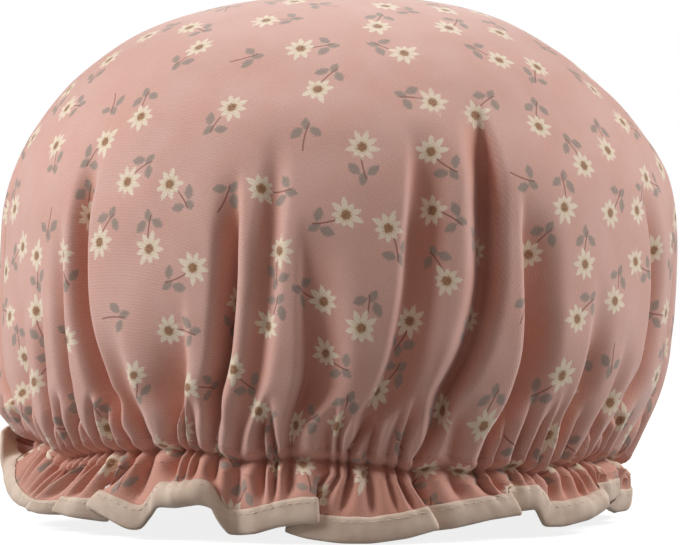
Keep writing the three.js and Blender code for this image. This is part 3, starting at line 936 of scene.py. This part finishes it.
def elastic_object(wobble):
    """The woven elastic, ribbed along its length, with its two ends lapped at the back."""
    lap = math.degrees(ELASTIC_LAP / BAND_RADIUS)
    turned = np.linspace(0, 360 + lap, ELASTIC_STEPS)
    heading = (180 - lap / 2 + turned)[:, None]
    inward = (ELASTIC_THICKNESS + LAP_CLEARANCE) * smooth(360 - LAP_EASING * lap, 360 - lap, turned)
    across = np.linspace(-1, 1, RIB_POINTS * ELASTIC_RIBS + 1)
    bulge = ELASTIC_HALF + RIB_HEIGHT * np.cos(across * math.pi * ELASTIC_RIBS)
    share = np.concatenate([across, across[::-1]])
    out = np.concatenate([-bulge, bulge[::-1]])
    radius = BAND_RADIUS - ELASTIC_THICKNESS / 2 - inward[:, None] + out
    height = neck_level(heading, wobble) + share * ELASTIC_WIDTH / 2
    sections = place(radius, heading, height)
    return new_object("ribbed_elastic", sections, tube_faces(ELASTIC_STEPS, len(share), False))


def bar_tack_object(wobble):
    """The zigzag of thread that joins the elastic's lapped ends, as one bent tube."""
    radius = BAND_RADIUS - 2 * ELASTIC_THICKNESS - BAR_TACK_SINK
    row = np.arange(BAR_TACK_POINTS * BAR_TACK_ROWS + 1) / BAR_TACK_POINTS
    along = (row / BAR_TACK_ROWS - 0.5) * (ELASTIC_LAP - BAR_TACK_ENDS)
    rise = -(ELASTIC_WIDTH / 2 - BAR_TACK_EDGE) * np.cos(math.pi * row)
    heading = 180 + np.degrees(along / radius)
    path = place(radius, heading, neck_level(heading, wobble) + rise)
    ahead = unit(np.gradient(path, axis=0))
    side = unit(np.cross(ahead, unit(path * [1, 1, 0])))
    rings = round_section(path, np.cross(side, ahead), side, BAR_TACK_THICK)
    return new_object("bar_tack_zigzag", rings, tube_faces(len(path), STITCH_SIDES, False))


class Field:
    """A number that varies over a surface, built up from shader maths nodes."""

    def __init__(self, socket):
        self.socket = socket
        self.tree = socket.id_data

    def maths(self, operation, *others):
        """The result of a maths node on this and other values."""
        entries = dict(enumerate((self, *others)))
        return Field(add_node(self.tree, "Math", entries, operation=operation)[0])

    def __add__(self, other):
        return self.maths("ADD", other)

    def __sub__(self, other):
        return self.maths("SUBTRACT", other)

    def __mul__(self, other):
        return self.maths("MULTIPLY", other)

    def __truediv__(self, other):
        return self.maths("DIVIDE", other)

    def ramp(self, low, high):
        """0 where this is at low, 1 where it is at high, and smooth between."""
        entries = {"Value": self, "From Min": low, "From Max": high}
        node = add_node(self.tree, "MapRange", entries, interpolation_type="SMOOTHSTEP")
        return Field(node["Result"])

    def edge(self, softness):
        """0 below zero and 1 above it, with a soft change between."""
        return self.ramp(-softness, softness)


def feed(value, socket):
    """Sets a socket to a number or colour, or links a field or another socket to it."""
    if isinstance(value, Field):
        value = value.socket
    if isinstance(value, bpy.types.NodeSocket):
        socket.id_data.links.new(value, socket)
    else:
        socket.default_value = value


def add_node(tree, kind, entries, **settings):
    """The outputs of a new shader node with the given entries and settings."""
    node = tree.nodes.new("ShaderNode" + kind)
    for name, value in settings.items():
        setattr(node, name, value)
    for entry, value in entries.items():
        feed(value, node.inputs[entry])
    return node.outputs


def new_material(name, finish):
    """A material of a fixed finish, its node tree and its shader node."""
    material = bpy.data.materials.new(name)
    material.use_nodes = True
    shader = material.node_tree.nodes["Principled BSDF"]
    for entry, value in finish.items():
        shader.inputs[entry].default_value = value
    return material, material.node_tree, shader


def uv_fields(tree, layer):
    """The two numbers of a UV layer, and the layer's vector socket."""
    vector = add_node(tree, "UVMap", {}, uv_map=layer)["UV"]
    parts = add_node(tree, "SeparateXYZ", {0: vector})
    return Field(parts[0]), Field(parts[1]), vector


def noise(vector, scale, detail=2.0):
    """Noise round 0.5 over the given coordinates."""
    node = add_node(vector.id_data, "TexNoise", {"Vector": vector, "Scale": scale, "Detail": detail})
    return Field(node["Fac"])


def chance(number):
    """A random share for each whole number."""
    return Field(add_node(number.tree, "TexWhiteNoise", {"W": number}, noise_dimensions="1D")["Value"])


def paint(share, under, over):
    """One colour over another, by share. Entries 6 and 7 and result 2 are the node's colours."""
    return add_node(share.tree, "Mix", {0: share, 6: under, 7: over}, data_type="RGBA")[2]


def add_surface(shader, shade, height, depth):
    """Gives a shader its colour, and its relief from a height field, depth in millimetres."""
    relief = add_node(shader.id_data, "Bump", {"Strength": 1.0, "Distance": depth * MM, "Height": height})
    feed(shade, shader.inputs["Base Color"])
    feed(relief["Normal"], shader.inputs["Normal"])


def leaf_share(x, y, leaf, roughness):
    """Share of a pointed leaf at a place in the motif."""
    cos, sin = math.cos(math.radians(leaf.angle)), math.sin(math.radians(leaf.angle))
    along = (x - leaf.x) * cos + (y - leaf.y) * sin
    beside = (y - leaf.y) * cos - (x - leaf.x) * sin
    half = along / (leaf.length / 2)
    inside = (half * half * -1 + 1) * (leaf.width / 2) - beside.maths("ABSOLUTE") + roughness
    return inside.edge(LEAF_EDGE)


def daisy(x, y, pick, roughness):
    """Shares of a daisy's petals and heart, and how far out and off a petal's axis a place is."""
    radius = (x * x + y * y).maths("SQRT")
    sector = y.maths("ARCTAN2", x) * (PETALS / (2 * math.pi)) + pick * PETALS + 2 * PETALS
    number = sector.maths("FLOOR").maths("MODULO", float(PETALS))
    off_axis = (sector.maths("FRACT") - 0.5).maths("ABSOLUTE") * 2
    length = chance(number + pick * PETAL_PICKS) * PETAL_VARIATION + PETAL_LENGTH
    tip = (off_axis.maths("POWER", PETAL_TIP[0]) * -1 + 1).maths("POWER", PETAL_TIP[1])
    petals = (tip * (length - PETAL_ROOT) + PETAL_ROOT - radius + roughness).edge(PRINT_EDGE)
    heart = (radius * -1 + HEART_RADIUS + roughness).edge(PRINT_EDGE)
    return petals, heart, radius / PETAL_LENGTH, off_axis


def printed_cloth_material():
    """Dusty pink twill with a small scattered print of cream daisies and grey-green sprigs, its pink paler as
    painted light on ridges and top and darker as painted shade in creases.
    """
    material, tree, shader = new_material("printed_cloth", CLOTH_FINISH)
    x, y, _ = uv_fields(tree, "motif")
    pick, kind, _ = uv_fields(tree, "motif_choice")
    # Share of painted light: 1 on the crown's top and ridges, 0 in deep creases and on the ruffle
    painted_light_share, _, _ = uv_fields(tree, "fading")
    lay_x, lay_y, lay = uv_fields(tree, "cloth")
    thread = noise(lay, scale=1.4)
    rough = (thread - 0.5) * PRINT_ROUGHNESS

    across = x * (pick.maths("GREATER_THAN", 0.5) * 2 - 1)
    sprig = leaf_share(across, y, LEAVES[0], rough)
    for leaf in LEAVES[1:]:
        sprig = sprig.maths("MAXIMUM", leaf_share(across, y, leaf, rough))
    bend = across - y * y * STEM_CURVE + STEM_SHIFT
    stem = (bend.maths("ABSOLUTE") * -1 + STEM_HALF).edge(STEM_EDGE)
    stem = stem * (y * -1 + STEM_TOP).edge(STEM_FADE) * (y - STEM_FOOT).edge(STEM_FADE)
    petals, heart, out_share, off_axis = daisy(x, y - FLOWER_RISE, pick, rough)
    flowering = kind.maths("LESS_THAN", FLOWER_SHARE)

    # Random wear mixed with painted light on the ridges and top and painted shade in the creases and over the
    # ruffle
    wear_and_painted_light = noise(lay, scale=0.05, detail=3.0).ramp(*NOISE_RANGE) * WEAR_SHARE + painted_light_share * (1 - WEAR_SHARE)
    slub = (noise(lay, scale=0.7) - 0.5) * TWILL_UNEVENNESS
    slant = lay_x * TWILL_LEAN[0] + lay_y * TWILL_LEAN[1]
    twill = (slant * (2 * math.pi / TWILL_PITCH) + slub).maths("SINE") * (thread + TWILL_BASE)
    ground = paint(wear_and_painted_light, *CLOTH_PINKS)
    leaves = paint(thread.ramp(*NOISE_RANGE), *LEAF_GREYS)
    ground = paint(sprig * LEAF_INK, ground, leaves)
    ground = paint(stem * STEM_INK, ground, STEM_COLOUR)
    cream = paint(out_share.ramp(*PETAL_RANGE), *PETAL_CREAMS)
    cream = paint(off_axis.ramp(*PETAL_SIDES) * PETAL_SHADE, cream, PETAL_CREAMS[0])
    ground = paint(petals * flowering, ground, cream)
    hearts = paint(thread.ramp(*NARROW_RANGE), *HEART_BROWNS)
    ground = paint(heart * flowering, ground, hearts)
    ground = paint(twill.ramp(-1.0, 1.0) * TWILL_INK, ground, TWILL_SHADE)
    ground = paint(thread.ramp(*NARROW_RANGE) * THREAD_INK, ground, TWILL_SHADE)
    add_surface(shader, ground, twill * TWILL_RELIEF + thread, depth=0.10)
    return material


def lining_material():
    """Milky waterproof film, faintly crinkled."""
    material, tree, shader = new_material("lining_film", {})
    _, _, lay = uv_fields(tree, "cloth")
    crinkle = noise(lay, scale=0.09, detail=4.0)
    fine = noise(lay, scale=0.6)
    shade = paint(crinkle.ramp(*NOISE_RANGE), *FILM_WHITES)
    feed(crinkle * FILM_ROUGHNESS_GAIN + FILM_ROUGHNESS, shader.inputs["Roughness"])
    add_surface(shader, shade, crinkle + fine * CRINKLE_FINE_SHARE, depth=0.6)
    return material


def woven_tape_material(name, dark, light):
    """Plain-woven tape with threads both ways, the UVs running along and across it."""
    material, tree, shader = new_material(name, TAPE_FINISH)
    along, across, lay = uv_fields(tree, "tape")
    warp = (across * (2 * math.pi / WEAVE_PITCH)).maths("SINE")
    weft = (along * (2 * math.pi / WEAVE_PITCH)).maths("SINE")
    weave = warp * weft
    blot = noise(lay, scale=0.12, detail=3.0)
    shade = paint(blot.ramp(*WIDE_RANGE), dark, light)
    shade = paint(weave.ramp(-1.0, 1.0) * WEAVE_INK, shade, dark)
    add_surface(shader, shade, weave * WEAVE_SHARE + blot, depth=0.12)
    return material


def thread_material(name, dark, light):
    """Sewing thread or knitted elastic, mottled by its fine plies."""
    material, tree, shader = new_material(name, THREAD_FINISH)
    plies = noise(add_node(tree, "TexCoord", {})["Object"], scale=2600.0, detail=1.0)
    add_surface(shader, paint(plies.ramp(*NARROW_RANGE), dark, light), plies, depth=0.05)
    return material


def seen_directly(tree):
    """1 for rays from the camera and by way of mirrors and panes, and 0 for others."""
    path = add_node(tree, "LightPath", {})
    either = Field(path["Is Camera Ray"]).maths("MAXIMUM", path["Is Glossy Ray"])
    return either.maths("MAXIMUM", path["Is Transmission Ray"])


def make_world():
    """A white backdrop to look at, which lights the cap only with a dim warm fill."""
    world = bpy.data.worlds.new("studio")
    world.use_nodes = True
    tree = world.node_tree
    tree.nodes.clear()
    fill = add_node(tree, "Background", {"Color": WORLD_TINT, "Strength": WORLD_STRENGTH})[0]
    white = add_node(tree, "Background", {"Color": WHITE, "Strength": 1.0})[0]
    mix = add_node(tree, "MixShader", {0: seen_directly(tree), 1: fill, 2: white})[0]
    add_node(tree, "OutputWorld", {"Surface": mix})
    bpy.context.scene.world = world


def make_floor():
    """A pale floor that fades to white away from the cap and keeps its shadow near it."""
    corners = np.array([(-1, -1, 0), (1, -1, 0), (1, 1, 0), (-1, 1, 0)])
    floor = new_object("floor", corners * FLOOR_HALF / MM, [(0, 1, 2, 3)])
    material = bpy.data.materials.new("floor")
    material.use_nodes = True
    tree = material.node_tree
    tree.nodes.clear()
    spot = add_node(tree, "TexCoord", {})["Object"]
    reach = add_node(tree, "VectorMath", {0: spot}, operation="LENGTH")["Value"]
    glow = Field(reach).ramp(*FLOOR_FADE) * (1 - FLOOR_GLOW) + FLOOR_GLOW
    pale = add_node(tree, "BsdfDiffuse", {"Color": FLOOR_COLOUR})[0]
    white = add_node(tree, "Emission", {"Strength": glow * seen_directly(tree)})[0]
    both = add_node(tree, "AddShader", {0: pale, 1: white})[0]
    add_node(tree, "OutputMaterial", {"Surface": both})
    floor.data.materials.append(material)


def add_aimed(name, data, location, target):
    """A lamp or a camera in the scene, turned towards its target."""
    made = add_object(name, data)
    made.location = location
    made.rotation_euler = (Vector(target) - Vector(location)).to_track_quat("-Z", "Y").to_euler()
    return made


def make_lamps():
    """The round soft lamps of the studio."""
    for name, location, size, power in LAMPS:
        lamp = bpy.data.lights.new(name, "AREA")
        lamp.shape = "DISK"
        lamp.size = size
        lamp.energy = power
        lamp.color = LAMP_TINT
        add_aimed(name, lamp, location, LAMP_TARGET)


def make_camera():
    """The camera at the place of the photo's."""
    camera = bpy.data.cameras.new("photo_camera")
    camera.sensor_width = CAMERA_SENSOR
    camera.lens = CAMERA_LENS
    bpy.context.scene.camera = add_aimed("photo_camera", camera, CAMERA_PLACE, CAMERA_TARGET)


grid, crown_lining, ruffle_lining, flat, fold_depth, neck_wobble = cloth_grid()
normals = grid_normals(grid)
flat_size = 2 * flat[-1] * MM
flat_area = math.pi * (flat[-1] * MM) ** 2

outer = sheet_object("printed_outer_cloth", grid)
add_print_layers(outer, grid, flat, fold_depth)
dress(outer, "outer_cloth", printed_cloth_material())

inner = lining_grid(grid, normals, crown_lining, ruffle_lining)
lining = sheet_object("waterproof_film", inner)
lining_rows, lining_columns, _ = sheet_corners(*inner.shape[:2])
lining_turn = np.radians(180 - 360 * lining_columns / inner.shape[1])
add_uv(lining, "cloth", flat_lay(np.concatenate([[0], flat])[lining_rows], lining_turn))
dress(lining, "waterproof_lining", lining_material())

tape = binding_sections(grid, normals)
tape_faces = tube_faces(*tape.shape[:2], True)
binding = new_object("hem_binding_tape", tape, tape_faces)
tape_run = running(gaps(tape[:, TAPE_MIDDLE]))
tape_across = running(gaps(tape, axis=1).mean(axis=0))
tape_uvs(binding, np.array(tape_faces), tape_run, tape_across)
dress(binding, "hem_binding", woven_tape_material("binding_tape", *TAPE_CREAMS))

cream_thread = thread_material("cream_thread", *TAPE_CREAMS)
pink_thread = thread_material("pink_thread", *THREAD_PINKS)
topstitch_line = hem_surface(grid, normals, np.full(COLUMNS, TOPSTITCH_UP), np.full(COLUMNS, TOPSTITCH_OUT))
topstitch = stitch_object("binding_stitches", topstitch_line, normals[-BINDING_ROWS])
dress(topstitch, "binding_thread", cream_thread)
for level, row in (("upper", CROWN_ROWS - 1), ("lower", CROWN_ROWS + CHANNEL_ROWS - 1)):
    stitches = stitch_object("casing_stitches_" + level, grid[row] - normals[row] * CASING_SINK, normals[row])
    dress(stitches, "casing_thread_" + level, pink_thread)

elastic = elastic_object(neck_wobble)
dress(elastic, "elastic_band", thread_material("elastic_tape", *ELASTIC_WHITES))
bar_tack = bar_tack_object(neck_wobble)
dress(bar_tack, "elastic_bar_tack", cream_thread)

make_world()
make_floor()
make_lamps()
make_camera()
bpy.context.scene.view_settings.view_transform = "Standard"
